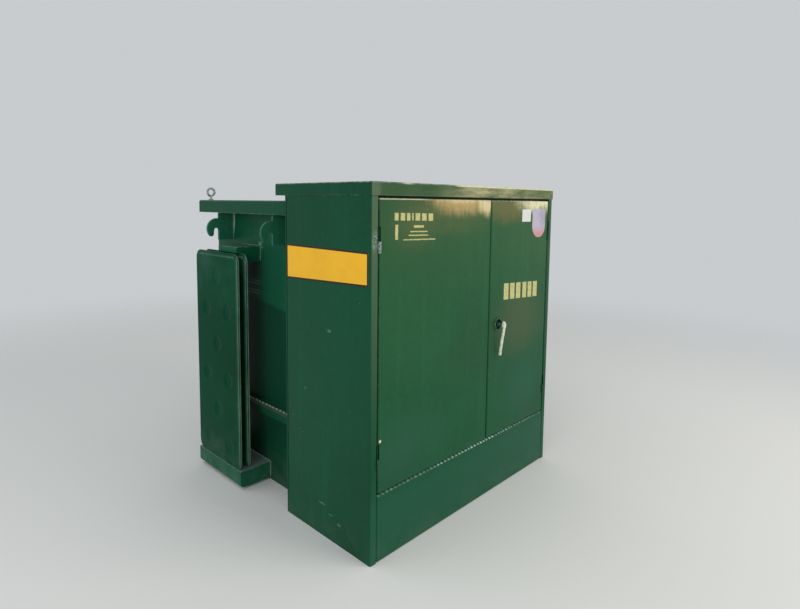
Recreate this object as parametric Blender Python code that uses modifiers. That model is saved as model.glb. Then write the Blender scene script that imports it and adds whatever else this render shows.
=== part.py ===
"""Pad-mounted three-phase distribution transformer: an oil tank with side radiators, and in front
of it a sheet-steel terminal cabinet with two hinged doors. Metres, +Z up, the doors face -Y, and
the origin is the centre of the tank's base."""

import math

import bmesh
import bpy
from mathutils import Matrix, Vector

# Clearances
SEAT_GAP = 0.0003
CUT_OVERRUN = 0.020

# Terminal cabinet: one folded sheet a side, joined to the tank by a full-width front plate
CABINET_WIDTH = 1.334
CABINET_DEPTH = 0.550
CABINET_RISE = 0.075
SHEET = 0.003
BEND_RADIUS = 0.005
BEND_SEGMENTS = 3
STILE_WIDTH = 0.034
STILE_RETURN = 0.030
REAR_FLANGE = 0.030
FRONT_PLATE_THICKNESS = 0.006

# Roof pan over the cabinet and the front of the tank lid
ROOF_SHEET = 0.003
ROOF_FIT = 0.0007
ROOF_LIP = 0.052
ROOF_REAR_OVERHANG = 0.080

# Header channel above the doors
HEADER_HEIGHT = 0.070
HEADER_FLANGE = 0.040
HEADER_SETBACK = 0.036

# Sill below the doors
SILL_HEIGHT = 0.277
SILL_DEPTH = 0.060
SILL_LIP = 0.020

# Doors
DOOR_SEAM = 0.006
DOOR_HEAD_GAP = 0.010
DOOR_DEPTH = 0.028
DOOR_LIP = 0.022
DOOR_SPLIT = 0.765
STIFFENER_WIDTH = 0.060
STIFFENER_DEPTH = 0.018
STIFFENER_FOOT = 0.020
STIFFENER_END_GAP = 0.040
LEFT_STIFFENER_SHARE = 0.5
RIGHT_STIFFENER_SHARE = 0.42

# Lift-off hinges, with a slot above each in which the door is raised off its pins
HINGE_FROM_DOOR_TOP = 0.207
HINGE_FROM_DOOR_BOTTOM = 0.100
KNUCKLE_RADIUS = 0.0065
KNUCKLE_HEIGHT = 0.022
KNUCKLE_PLAY = 0.0005
HINGE_PIN_RADIUS = 0.003
HINGE_PIN_PLAY = 0.0003
HINGE_PIN_RECESS = 0.001
HINGE_AXIS_PROUD = 0.003
HINGE_LEAF = 0.002
HINGE_LEAF_DEPTH = 0.026
SLOT_CLEARANCE = 0.002
SLOT_DEPTH = 0.006
SLOT_LIFT = 0.056
ROUND_SIDES = 24

# Door handle: a bent bar on a shaft that turns in a cupped boss
HANDLE_FROM_SEAM = 0.075
HANDLE_HEIGHT = 0.838
BOSS_RADIUS = 0.032
BOSS_PROUD = 0.006
CUP_WALL = 0.003
CUP_RADIUS = 0.026
CUP_DEPTH = 0.014
CUP_FIT = 0.0005
BOSS_STEPS = 36
SHAFT_RADIUS = 0.008
SHAFT_FIT = 0.0003
SHAFT_HEAD_RADIUS = 0.011
SHAFT_HEAD_PROUD = 0.036
RETAINER_RADIUS = 0.013
RETAINER_THICKNESS = 0.003
LEVER_RADIUS = 0.007
LEVER_RISE = 0.019
LEVER_STAND_OFF = 0.036
LEVER_SHOULDER = 0.022
LEVER_MIDDLE = 0.080
LEVER_REACH = 0.150
LEVER_END_STAND_OFF = 0.018
LEVER_RESOLUTION = 5
LEVER_BEVEL_RESOLUTION = 3

# Oil tank
TANK_WIDTH = 1.114
TANK_DEPTH = 0.818
TANK_CORNER = 0.012
CORNER_SEGMENTS = 5
RIB_HEIGHT = 0.385
RIB_LEG = 0.034
RIB_STAND_OFF = 0.030
RIB_THICKNESS = 0.005

# Tank lid: a pan with a turned-down lip
LID_TOP = 1.425
LID_LIP = 0.065
LID_SHEET = 0.006
LID_OVERHANG = 0.098
LID_REAR_OVERHANG = 0.020
LID_BEND_RADIUS = 0.008

# Eye bolts on the lid's rear corners
EYE_INSET_X = 0.045
EYE_INSET_Y = 0.055
EYE_SHANK_RADIUS = 0.006
EYE_SHANK_HEIGHT = 0.022
EYE_COLLAR_RADIUS = 0.012
EYE_COLLAR_HEIGHT = 0.005
EYE_RING_RADIUS = 0.020
EYE_WIRE_RADIUS = 0.006
EYE_RING_STEPS = 24
EYE_WIRE_STEPS = 10

# Lifting hooks on the tank's side walls
HOOK_FRONT_INSET = 0.145
HOOK_REAR_INSET = 0.168
HOOK_THICKNESS = 0.014
HOOK_PLATE_WIDTH = 0.083
HOOK_PLATE_HEIGHT = 0.138
HOOK_LID_GAP = 0.004
HOOK_SHOULDER = 0.025
HOOK_CROWN = 0.050
HOOK_THROAT = 0.028
HOOK_ARM = 0.036
HOOK_OUTER_RADIUS = 0.055
HOOK_TIP_RADIUS = 0.012
HOOK_SWEEP_ANGLE = 40
ARC_STEPS = 8

# Radiators: on each side wall, wafer panels that stand on a lower box header; an upper header
# laps over the inner panel, and a round neck joins the panels
PANEL_COUNT = 2
PANEL_PITCH = 0.046
PANEL_OUTER_FACE = 0.170
PANEL_THICKNESS = 0.013
PANEL_DEPTH = 0.425
PANEL_CORNER = 0.045
PANEL_SEAM = 0.004
PANEL_SEAM_WIDTH = 0.014
PANEL_DRAFT = 0.008
PANEL_REAR_INSET = 0.082
PANEL_TOP_DROP = 0.030
LOWER_HEADER_BASE = 0.012
LOWER_HEADER_TOP = 0.094
LOWER_HEADER_DEPTH = 0.425
LOWER_HEADER_CORNER = 0.018
UPPER_HEADER_DROP = 0.227
UPPER_HEADER_HEIGHT = 0.078
UPPER_HEADER_DEPTH = 0.178
UPPER_HEADER_SETBACK = 0.071
UPPER_HEADER_LAP = 0.021
NECK_RADIUS = 0.026
NECK_DROP = 0.050
DIMPLE_RADIUS = 0.044
DIMPLE_FLAT_RADIUS = 0.020
DIMPLE_PITCH_Y = 0.208
DIMPLE_PITCH_Z = 0.170
DIMPLE_FOOT_MARGIN = 0.031
DIMPLE_HEAD_MARGIN = 0.050
DIMPLE_SIDES = 16

# Working tolerances of the model
MERGE_DISTANCE = 0.00003
SHARP_ANGLE = 40

# Worked out from the sizes above
CABINET_TOP = LID_TOP + CABINET_RISE
TANK_TOP = LID_TOP - LID_SHEET - SEAT_GAP
TANK_SIDE = TANK_WIDTH / 2
TANK_FRONT = -TANK_DEPTH / 2
FRONT_PLATE_FRONT = TANK_FRONT - SEAT_GAP - FRONT_PLATE_THICKNESS
CABINET_REAR = FRONT_PLATE_FRONT - SEAT_GAP
CABINET_FRONT = CABINET_REAR - CABINET_DEPTH
CABINET_SIDE = CABINET_WIDTH / 2
CABINET_LEFT = -CABINET_SIDE
ROOF_SEAT = CABINET_TOP - ROOF_SHEET - SEAT_GAP
CABINET_WALL_TOP = CABINET_TOP - ROOF_SHEET / 2 - BEND_RADIUS - SEAT_GAP
ROOF_OVERLAP = ROOF_SHEET + ROOF_FIT
DOOR_BOTTOM = SILL_HEIGHT + DOOR_SEAM
DOOR_TOP = CABINET_TOP - ROOF_LIP - DOOR_HEAD_GAP
DOOR_OUTER_X = CABINET_SIDE - STILE_WIDTH - DOOR_SEAM
HINGE_AXIS_X = CABINET_SIDE - STILE_WIDTH - DOOR_SEAM / 2
HINGE_AXIS_Y = CABINET_FRONT - HINGE_AXIS_PROUD
HINGE_HEIGHT = KNUCKLE_HEIGHT + KNUCKLE_PLAY + KNUCKLE_HEIGHT
SPLIT_X = CABINET_LEFT + DOOR_SPLIT
HANDLE_X = SPLIT_X + HANDLE_FROM_SEAM
HINGE_BASES = {
    "upper": DOOR_TOP - HINGE_FROM_DOOR_TOP,
    "lower": DOOR_BOTTOM + HINGE_FROM_DOOR_BOTTOM,
}
HOOK_PLATE_TOP = LID_TOP - LID_LIP - HOOK_LID_GAP
HOOK_PLACES = {
    "front": -TANK_DEPTH / 2 + HOOK_FRONT_INSET,
    "rear": TANK_DEPTH / 2 - HOOK_REAR_INSET,
}
UPPER_HEADER_TOP = LID_TOP - UPPER_HEADER_DROP
PANEL_TOP = UPPER_HEADER_TOP - PANEL_TOP_DROP
PANEL_CENTRE_Y = TANK_DEPTH / 2 - PANEL_REAR_INSET - PANEL_DEPTH / 2
UPPER_HEADER_FRONT = PANEL_CENTRE_Y - PANEL_DEPTH / 2 + UPPER_HEADER_SETBACK
DIMPLE_DEPTH = (PANEL_THICKNESS - PANEL_SEAM) / 2

PAINT_GREEN = (0.018, 0.080, 0.045)
DARK_GREEN = (0.012, 0.055, 0.032)
ZINC = (0.55, 0.56, 0.55)


def clear_scene():
    for obj in list(bpy.data.objects):
        bpy.data.objects.remove(obj, do_unlink=True)


def collection(name, hidden=False):
    made = bpy.data.collections.new(name)
    made.hide_render = hidden
    bpy.context.scene.collection.children.link(made)
    return made


def finish(obj, color, roughness=0.35, metallic=0.0):
    """Gives the object a material of its own."""
    material = bpy.data.materials.new(obj.name + "_finish")
    material.use_nodes = True
    shader = material.node_tree.nodes["Principled BSDF"]
    shader.inputs["Base Color"].default_value = (*color, 1.0)
    shader.inputs["Roughness"].default_value = roughness
    shader.inputs["Metallic"].default_value = metallic
    obj.data.materials.append(material)


def mesh_object(name, bm, color, metallic=0.0):
    bm.normal_update()
    mesh = bpy.data.meshes.new(name)
    bm.to_mesh(mesh)
    bm.free()
    obj = bpy.data.objects.new(name, mesh)
    parts.objects.link(obj)
    finish(obj, color, metallic=metallic)
    return obj


def round_shading(obj):
    obj.data.shade_smooth()
    obj.data.set_sharp_from_angle(angle=math.radians(SHARP_ANGLE))


def set_origin(obj, point):
    """Moves the origin of a mesh object to a point, with its shape left where it is."""
    obj.data.transform(Matrix.Translation(-Vector(point)))
    obj.location = point


def add_box(bm, low, high):
    centre = (Vector(low) + Vector(high)) / 2
    size = Vector(high) - Vector(low)
    matrix = Matrix.Translation(centre) @ Matrix.Diagonal((*size, 1))
    return bmesh.ops.create_cube(bm, size=1, matrix=matrix)["verts"]


def add_cylinder(bm, radius, low_z, high_z, x=0, y=0):
    matrix = Matrix.Translation((x, y, (low_z + high_z) / 2))
    bmesh.ops.create_cone(
        bm,
        cap_ends=True,
        segments=ROUND_SIDES,
        radius1=radius,
        radius2=radius,
        depth=high_z - low_z,
        matrix=matrix,
    )


def block(name, low, high, color=PAINT_GREEN):
    bm = bmesh.new()
    add_box(bm, low, high)
    return mesh_object(name, bm, color)


def round_edges(bm, direction, radius):
    """Rounds the edges that run along a direction."""
    along = []
    for edge in bm.edges:
        run = edge.verts[1].co - edge.verts[0].co
        if run.cross(Vector(direction)).length < SEAT_GAP:
            along.append(edge)
    bmesh.ops.bevel(
        bm,
        geom=along,
        offset=radius,
        offset_type="OFFSET",
        segments=CORNER_SEGMENTS,
        profile=0.5,
        affect="EDGES",
    )


def helper(obj):
    """Makes an object a cutter or a joined shape, which is no part of its own."""
    parts.objects.unlink(obj)
    cutters.objects.link(obj)
    obj.hide_render = True
    obj.display_type = "WIRE"
    return obj


def boolean(obj, other, operation):
    modifier = obj.modifiers.new(other.name, "BOOLEAN")
    modifier.operation = operation
    modifier.object = other
    modifier.solver = "EXACT"


def as_sheet(obj, thickness=SHEET, bend=BEND_RADIUS):
    """Turns an open surface, drawn along the middle of the sheet, into folded sheet metal."""
    bends = obj.modifiers.new("bends", "BEVEL")
    bends.width = bend
    bends.segments = BEND_SEGMENTS
    bends.limit_method = "ANGLE"
    sheet = obj.modifiers.new("sheet", "SOLIDIFY")
    sheet.thickness = thickness
    sheet.offset = 0
    sheet.use_even_offset = True
    return obj


def folded_sheet(name, path, low_z, high_z, color=PAINT_GREEN):
    """An upright folded sheet; path is the middle of the sheet in plan."""
    bm = bmesh.new()
    corners = [bm.verts.new((x, y, low_z)) for x, y in path]
    edges = [bm.edges.new(pair) for pair in zip(corners, corners[1:])]
    raised = bmesh.ops.extrude_edge_only(bm, edges=edges)["geom"]
    raised = [v for v in raised if isinstance(v, bmesh.types.BMVert)]
    bmesh.ops.translate(bm, verts=raised, vec=(0, 0, high_z - low_z))
    return as_sheet(mesh_object(name, bm, color))


def pan(name, low, high, openings, lip=0, thickness=SHEET, bend=BEND_RADIUS):
    """A folded box whose outside is low to high, open towards each of openings, with a lip there."""
    skin = Vector((thickness / 2,) * 3)
    low = Vector(low)
    high = Vector(high)
    for way in openings:
        if lip:
            continue
        for axis in range(3):
            low[axis] -= skin[axis] * max(-way[axis], 0)
            high[axis] += skin[axis] * max(way[axis], 0)
    bm = bmesh.new()
    add_box(bm, low + skin, high - skin)
    bm.normal_update()
    for way in openings:
        face = max(bm.faces, key=lambda f: f.normal.dot(Vector(way)) * f.calc_area())
        if lip:
            bmesh.ops.inset_region(bm, faces=[face], thickness=lip, use_even_offset=True)
        bmesh.ops.delete(bm, geom=[face], context="FACES")
    return as_sheet(mesh_object(name, bm, PAINT_GREEN), thickness, bend)


def arc(centre, radius, start, end, steps=ARC_STEPS):
    """Points along an arc, from angle start to end in degrees."""
    turns = [math.radians(start + (end - start) * i / steps) for i in range(steps + 1)]
    return [(centre[0] + radius * math.cos(t), centre[1] + radius * math.sin(t)) for t in turns]


def wall_section(name, outline, side, y, depth, color=PAINT_GREEN):
    """A flat outline on a tank side wall, as (distance out, height) points, extruded along Y."""
    curve = bpy.data.curves.new(name, "CURVE")
    curve.dimensions = "2D"
    curve.fill_mode = "BOTH"
    curve.extrude = depth / 2
    spline = curve.splines.new("POLY")
    spline.points.add(len(outline) - 1)
    for point, (out, height) in zip(spline.points, outline):
        point.co = (out, height, 0, 1)
    spline.use_cyclic_u = True
    obj = bpy.data.objects.new(name, curve)
    obj.location = (side * TANK_SIDE, y, 0)
    obj.rotation_euler = (math.radians(90), 0, 0 if side > 0 else math.radians(180))
    parts.objects.link(obj)
    finish(obj, color)
    return obj


def tank():
    bm = bmesh.new()
    add_box(bm, (-TANK_SIDE, TANK_FRONT, 0), (TANK_SIDE, -TANK_FRONT, TANK_TOP))
    round_edges(bm, (0, 0, 1), TANK_CORNER)
    round_shading(mesh_object("tank_body", bm, PAINT_GREEN))
    block(
        "tank_front_plate",
        (-CABINET_SIDE, FRONT_PLATE_FRONT, 0),
        (CABINET_SIDE, TANK_FRONT - SEAT_GAP, CABINET_WALL_TOP),
    )
    pan(
        "tank_lid",
        (-TANK_SIDE - LID_OVERHANG, TANK_FRONT, LID_TOP - LID_LIP),
        (TANK_SIDE + LID_OVERHANG, -TANK_FRONT + LID_REAR_OVERHANG, LID_TOP),
        [(0, 0, -1), (0, -1, 0)],
        thickness=LID_SHEET,
        bend=LID_BEND_RADIUS,
    )


def tank_rib(label, side):
    outline = [
        (SEAT_GAP, RIB_HEIGHT),
        (SEAT_GAP, RIB_HEIGHT - RIB_THICKNESS),
        (RIB_STAND_OFF - RIB_THICKNESS, RIB_HEIGHT - RIB_THICKNESS),
        (RIB_STAND_OFF - RIB_THICKNESS, RIB_HEIGHT - RIB_LEG),
        (RIB_STAND_OFF, RIB_HEIGHT - RIB_LEG),
        (RIB_STAND_OFF, RIB_HEIGHT),
    ]
    length = TANK_DEPTH - SEAT_GAP - TANK_CORNER
    wall_section(f"tank_rib_{label}", outline, side, TANK_FRONT + SEAT_GAP + length / 2, length)


def lid_eye(label, side):
    """An eye bolt: a shank and collar with a ring on top."""
    name = f"lid_eye_{label}"
    x = side * (TANK_SIDE + LID_OVERHANG - EYE_INSET_X)
    y = -TANK_FRONT + LID_REAR_OVERHANG - EYE_INSET_Y
    base = LID_TOP + SEAT_GAP
    ring_z = base + EYE_SHANK_HEIGHT + EYE_RING_RADIUS
    bm = bmesh.new()
    add_cylinder(bm, EYE_SHANK_RADIUS, base, ring_z - EYE_RING_RADIUS, x, y)
    eye = mesh_object(name, bm, ZINC, metallic=1.0)
    bm = bmesh.new()
    add_cylinder(bm, EYE_COLLAR_RADIUS, base, base + EYE_COLLAR_HEIGHT, x, y)
    collar = helper(mesh_object(name + "_collar", bm, ZINC))
    bpy.ops.mesh.primitive_torus_add(
        major_segments=EYE_RING_STEPS,
        minor_segments=EYE_WIRE_STEPS,
        major_radius=EYE_RING_RADIUS,
        minor_radius=EYE_WIRE_RADIUS,
        location=(x, y, ring_z),
        rotation=(math.radians(90), 0, 0),
    )
    ring = bpy.context.object
    ring.name = name + "_ring"
    bpy.context.collection.objects.unlink(ring)
    cutters.objects.link(ring)
    ring.hide_render = True
    ring.display_type = "WIRE"
    boolean(eye, collar, "UNION")
    boolean(eye, ring, "UNION")
    round_shading(eye)


def lifting_hook(label, side, y):
    """A plate on edge against the side wall, with a downturned hook that stands past the lid."""
    bottom = HOOK_PLATE_TOP - HOOK_PLATE_HEIGHT
    crest = HOOK_PLATE_TOP - HOOK_SHOULDER
    reach = HOOK_PLATE_WIDTH + HOOK_THROAT + HOOK_ARM
    bend = (reach - HOOK_OUTER_RADIUS, crest - HOOK_OUTER_RADIUS)
    root = math.degrees(math.acos((HOOK_PLATE_WIDTH - bend[0]) / HOOK_OUTER_RADIUS))
    sweep = math.radians(HOOK_SWEEP_ANGLE)
    tip_swing = HOOK_OUTER_RADIUS - HOOK_TIP_RADIUS
    tip = (bend[0] + tip_swing * math.cos(sweep), bend[1] - tip_swing * math.sin(sweep))
    throat_radius = HOOK_THROAT / 2
    throat = (HOOK_PLATE_WIDTH + throat_radius, crest - HOOK_CROWN - throat_radius)
    outline = [(SEAT_GAP, bottom), (SEAT_GAP, HOOK_PLATE_TOP), (HOOK_PLATE_WIDTH, HOOK_PLATE_TOP)]
    outline += arc(bend, HOOK_OUTER_RADIUS, root, -HOOK_SWEEP_ANGLE)
    outline += arc(tip, HOOK_TIP_RADIUS, -HOOK_SWEEP_ANGLE, -180)[1:]
    outline += arc(throat, throat_radius, 0, 180)
    outline += [(HOOK_PLATE_WIDTH, bottom)]
    wall_section(f"lifting_hook_{label}", outline, side, y, HOOK_THICKNESS)


def radiator(label, side):
    """Upper and lower headers, the wafer panels, and the necks between the panels."""
    reach = PANEL_OUTER_FACE
    corner = LOWER_HEADER_CORNER
    lower = [(SEAT_GAP, LOWER_HEADER_TOP), (SEAT_GAP, LOWER_HEADER_BASE)]
    lower += arc((reach - corner, LOWER_HEADER_BASE + corner), corner, -90, 0)
    lower += [(reach, LOWER_HEADER_TOP)]
    wall_section(f"radiator_{label}_lower_header", lower, side, PANEL_CENTRE_Y, LOWER_HEADER_DEPTH)
    for number in range(PANEL_COUNT):
        outer = PANEL_OUTER_FACE - number * PANEL_PITCH
        inner = outer - PANEL_THICKNESS
        name = f"radiator_{label}_panel_{number + 1}"
        radiator_panel(name, side * (TANK_SIDE + (inner + outer) / 2), LOWER_HEADER_TOP + SEAT_GAP)
        if number + 1 < PANEL_COUNT:
            radiator_neck(f"radiator_{label}_neck_{number + 1}", side, outer - PANEL_PITCH, inner)
    base = UPPER_HEADER_TOP - UPPER_HEADER_HEIGHT
    lap = PANEL_TOP + SEAT_GAP
    upper = [
        (SEAT_GAP, base),
        (inner - SEAT_GAP, base),
        (inner - SEAT_GAP, lap),
        (inner + UPPER_HEADER_LAP, lap),
        (inner + UPPER_HEADER_LAP, UPPER_HEADER_TOP),
        (SEAT_GAP, UPPER_HEADER_TOP),
    ]
    middle = UPPER_HEADER_FRONT + UPPER_HEADER_DEPTH / 2
    wall_section(f"radiator_{label}_upper_header", upper, side, middle, UPPER_HEADER_DEPTH)


def radiator_neck(name, side, near, far):
    """The round duct that joins one panel to the next below their top seams."""
    bm = bmesh.new()
    add_cylinder(bm, NECK_RADIUS, near + SEAT_GAP, far - SEAT_GAP)
    turn = Matrix.Rotation(math.radians(90 * side), 4, "Y")
    bm.transform(Matrix.Translation((side * TANK_SIDE, PANEL_CENTRE_Y, PANEL_TOP - NECK_DROP)) @ turn)
    round_shading(mesh_object(name, bm, PAINT_GREEN))


def dimple_rows(low_z):
    """Centres of the spot-weld dimples as (y, z), in rows of two and one by turns."""
    rim = PANEL_SEAM_WIDTH + PANEL_DRAFT + DIMPLE_RADIUS
    lowest = low_z + rim + DIMPLE_FOOT_MARGIN
    highest = PANEL_TOP - rim - DIMPLE_HEAD_MARGIN
    half = DIMPLE_PITCH_Y / 2
    centres = []
    for row in range(int((highest - lowest) / DIMPLE_PITCH_Z) + 1):
        z = lowest + row * DIMPLE_PITCH_Z
        if row % 2:
            centres.append((PANEL_CENTRE_Y, z))
        else:
            centres += [(PANEL_CENTRE_Y - half, z), (PANEL_CENTRE_Y + half, z)]
    return centres


def dimple_cutter(name, x, centres):
    """Flat-bottomed cones that press both sheets of a panel down to the seam."""
    flare = (DIMPLE_RADIUS - DIMPLE_FLAT_RADIUS) / DIMPLE_DEPTH
    depth = DIMPLE_DEPTH + SEAT_GAP
    bm = bmesh.new()
    for y, z in centres:
        for way in (-1, 1):
            out = x + way * (PANEL_SEAM / 2 + depth / 2)
            turn = Matrix.Rotation(math.radians(90 * way), 4, "Y")
            bmesh.ops.create_cone(
                bm,
                cap_ends=True,
                segments=DIMPLE_SIDES,
                radius1=DIMPLE_FLAT_RADIUS,
                radius2=DIMPLE_FLAT_RADIUS + flare * depth,
                depth=depth,
                matrix=Matrix.Translation((out, y, z)) @ turn,
            )
    return helper(mesh_object(name + "_dimples", bm, DARK_GREEN))


def radiator_panel(name, x, low_z):
    """Two pressed sheets seamed round the edge and spot-welded at dimples, bulging in between."""
    half_seam = PANEL_SEAM / 2
    half_depth = PANEL_DEPTH / 2
    bm = bmesh.new()
    add_box(
        bm,
        (x - half_seam, PANEL_CENTRE_Y - half_depth, low_z),
        (x + half_seam, PANEL_CENTRE_Y + half_depth, PANEL_TOP),
    )
    round_edges(bm, (1, 0, 0), PANEL_CORNER)
    bm.normal_update()
    faces = sorted(bm.faces, key=lambda f: f.calc_area())[-2:]
    for face in faces:
        bmesh.ops.inset_region(bm, faces=[face], thickness=PANEL_SEAM_WIDTH, use_even_offset=True)
        bulge = (PANEL_THICKNESS - PANEL_SEAM) / 2
        bmesh.ops.inset_region(bm, faces=[face], thickness=PANEL_DRAFT, use_even_offset=True)
        outward = face.normal * bulge
        bmesh.ops.translate(bm, verts=face.verts, vec=outward)
    panel = mesh_object(name, bm, PAINT_GREEN)
    boolean(panel, dimple_cutter(name, x, dimple_rows(low_z)), "DIFFERENCE")
    round_shading(panel)


def hinge_slot(label, side, level, base):
    """The cutter for the slot that a hinge stands in, half in the stile and half in the door."""
    x = side * HINGE_AXIS_X
    reach = KNUCKLE_RADIUS + SLOT_CLEARANCE
    bm = bmesh.new()
    add_box(
        bm,
        (x - reach, CABINET_FRONT - CUT_OVERRUN, base - SLOT_CLEARANCE),
        (x + reach, CABINET_FRONT + SLOT_DEPTH, base + HINGE_HEIGHT + SLOT_LIFT),
    )
    return helper(mesh_object(f"hinge_slot_{label}_{level}", bm, DARK_GREEN))


def hinge_half(name, side, low_z, high_z, leaf_side, pin_top=None, bored=False):
    """A knuckle with its leaf in the seam; leaf_side is -1 against the stile, 1 against the door."""
    x = side * HINGE_AXIS_X
    seam = DOOR_SEAM / 2 - SEAT_GAP
    outer = -side * leaf_side * seam
    inner = -side * leaf_side * (seam - HINGE_LEAF)
    bm = bmesh.new()
    add_cylinder(bm, KNUCKLE_RADIUS, low_z, high_z, x, HINGE_AXIS_Y)
    knuckle = mesh_object(name, bm, DARK_GREEN)
    bm = bmesh.new()
    add_box(
        bm,
        (x + min(outer, inner), HINGE_AXIS_Y, low_z),
        (x + max(outer, inner), HINGE_AXIS_Y + HINGE_LEAF_DEPTH, high_z),
    )
    boolean(knuckle, helper(mesh_object(name + "_leaf", bm, DARK_GREEN)), "UNION")
    if pin_top:
        bm = bmesh.new()
        add_cylinder(bm, HINGE_PIN_RADIUS, low_z + KNUCKLE_RADIUS, pin_top, x, HINGE_AXIS_Y)
        boolean(knuckle, helper(mesh_object(name + "_pin", bm, DARK_GREEN)), "UNION")
    if bored:
        bm = bmesh.new()
        bore = HINGE_PIN_RADIUS + HINGE_PIN_PLAY
        add_cylinder(bm, bore, low_z - CUT_OVERRUN, high_z + CUT_OVERRUN, x, HINGE_AXIS_Y)
        boolean(knuckle, helper(mesh_object(name + "_bore", bm, DARK_GREEN)), "DIFFERENCE")
    round_shading(knuckle)
    set_origin(knuckle, (x, HINGE_AXIS_Y, low_z))


def hinge(label, side, level, base):
    middle = base + KNUCKLE_HEIGHT
    top = base + HINGE_HEIGHT
    name = f"hinge_{label}_{level}"
    hinge_half(name + "_post_half", side, base, middle, -1, pin_top=top - HINGE_PIN_RECESS)
    hinge_half(name + "_door_half", side, middle + KNUCKLE_PLAY, top, 1, bored=True)


def cabinet_side(label, side, slots):
    """Side wall, front stile and rear flange folded from one sheet."""
    mid = SHEET / 2
    face = CABINET_SIDE - mid
    stile = CABINET_SIDE - STILE_WIDTH + mid
    front = CABINET_FRONT + mid
    rear = CABINET_REAR - mid
    path = [
        (side * stile, CABINET_FRONT + STILE_RETURN),
        (side * stile, front),
        (side * face, front),
        (side * face, rear),
        (side * (CABINET_SIDE - REAR_FLANGE), rear),
    ]
    wall = folded_sheet(f"cabinet_side_{label}", path, 0, CABINET_WALL_TOP)
    for slot in slots:
        boolean(wall, slot, "DIFFERENCE")


def cabinet_frame():
    """Roof, header channel and sill."""
    pan(
        "cabinet_roof",
        (-CABINET_SIDE - ROOF_OVERLAP, CABINET_FRONT - ROOF_OVERLAP, CABINET_TOP - ROOF_LIP),
        (CABINET_SIDE + ROOF_OVERLAP, CABINET_REAR + ROOF_REAR_OVERHANG, CABINET_TOP),
        [(0, 0, -1)],
        thickness=ROOF_SHEET,
    )
    inner = CABINET_SIDE - SHEET - SEAT_GAP
    pan(
        "door_header",
        (-inner, CABINET_FRONT + HEADER_SETBACK, ROOF_SEAT - HEADER_HEIGHT),
        (inner, CABINET_FRONT + HEADER_SETBACK + HEADER_FLANGE, ROOF_SEAT),
        [(0, 1, 0)],
    )
    inner = CABINET_SIDE - STILE_WIDTH - SEAT_GAP
    pan(
        "front_sill",
        (-inner, CABINET_FRONT, 0),
        (inner, CABINET_FRONT + SILL_DEPTH, SILL_HEIGHT),
        [(0, 1, 0)],
        lip=SILL_LIP,
    )


def door(label, side, inner_x, stiffener_share, slots):
    """A folded pan with an inturned lip, and a hat-section stiffener down its back."""
    outer_x = side * DOOR_OUTER_X
    low_x = min(outer_x, inner_x)
    high_x = max(outer_x, inner_x)
    leaf = pan(
        f"door_{label}",
        (low_x, CABINET_FRONT, DOOR_BOTTOM),
        (high_x, CABINET_FRONT + DOOR_DEPTH, DOOR_TOP),
        [(0, 1, 0)],
        lip=DOOR_LIP,
    )
    for slot in slots:
        boolean(leaf, slot, "DIFFERENCE")
    set_origin(leaf, (side * HINGE_AXIS_X, HINGE_AXIS_Y, DOOR_BOTTOM))
    centre = low_x + (high_x - low_x) * stiffener_share
    mid = SHEET / 2
    front = CABINET_FRONT + SHEET + SEAT_GAP + mid
    half = STIFFENER_WIDTH / 2
    path = [
        (centre - half - STIFFENER_FOOT, front),
        (centre - half, front),
        (centre - half, front + STIFFENER_DEPTH),
        (centre + half, front + STIFFENER_DEPTH),
        (centre + half, front),
        (centre + half + STIFFENER_FOOT, front),
    ]
    low_z = DOOR_BOTTOM + STIFFENER_END_GAP
    high_z = DOOR_TOP - STIFFENER_END_GAP
    hat = folded_sheet(f"door_{label}_stiffener", path, low_z, high_z)
    set_origin(hat, (side * HINGE_AXIS_X, HINGE_AXIS_Y, low_z))
    return leaf


def handle_hole(leaf, x):
    """Cuts the hole for the cup out of the door."""
    place = Matrix.Translation((x, CABINET_FRONT, HANDLE_HEIGHT))
    bm = bmesh.new()
    add_cylinder(bm, CUP_RADIUS + CUP_WALL + CUP_FIT, -CUT_OVERRUN, CUT_OVERRUN)
    bm.transform(place @ Matrix.Rotation(math.radians(90), 4, "X"))
    boolean(leaf, helper(mesh_object("handle_hole", bm, DARK_GREEN)), "DIFFERENCE")


def handle_boss(x):
    """A turned flange with a cup let into the door; local +Z points out of the door."""
    profile = [
        (CUP_RADIUS, BOSS_PROUD),
        (BOSS_RADIUS - CUP_WALL / 2, BOSS_PROUD),
        (BOSS_RADIUS, BOSS_PROUD - CUP_WALL / 2),
        (BOSS_RADIUS, SEAT_GAP),
        (CUP_RADIUS + CUP_WALL, SEAT_GAP),
        (CUP_RADIUS + CUP_WALL, -CUP_DEPTH),
        (SHAFT_RADIUS + SHAFT_FIT, -CUP_DEPTH),
        (SHAFT_RADIUS + SHAFT_FIT, -CUP_DEPTH + CUP_WALL),
        (CUP_RADIUS, -CUP_DEPTH + CUP_WALL),
    ]
    bm = bmesh.new()
    loop = [bm.verts.new((radius, 0, height)) for radius, height in profile]
    for pair in zip(loop, loop[1:] + loop[:1]):
        bm.edges.new(pair)
    boss = mesh_object("handle_boss", bm, DARK_GREEN)
    turn = boss.modifiers.new("turn", "SCREW")
    turn.steps = BOSS_STEPS
    turn.render_steps = BOSS_STEPS
    boss.location = (x, CABINET_FRONT, HANDLE_HEIGHT)
    boss.rotation_euler = (math.radians(90), 0, 0)


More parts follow.
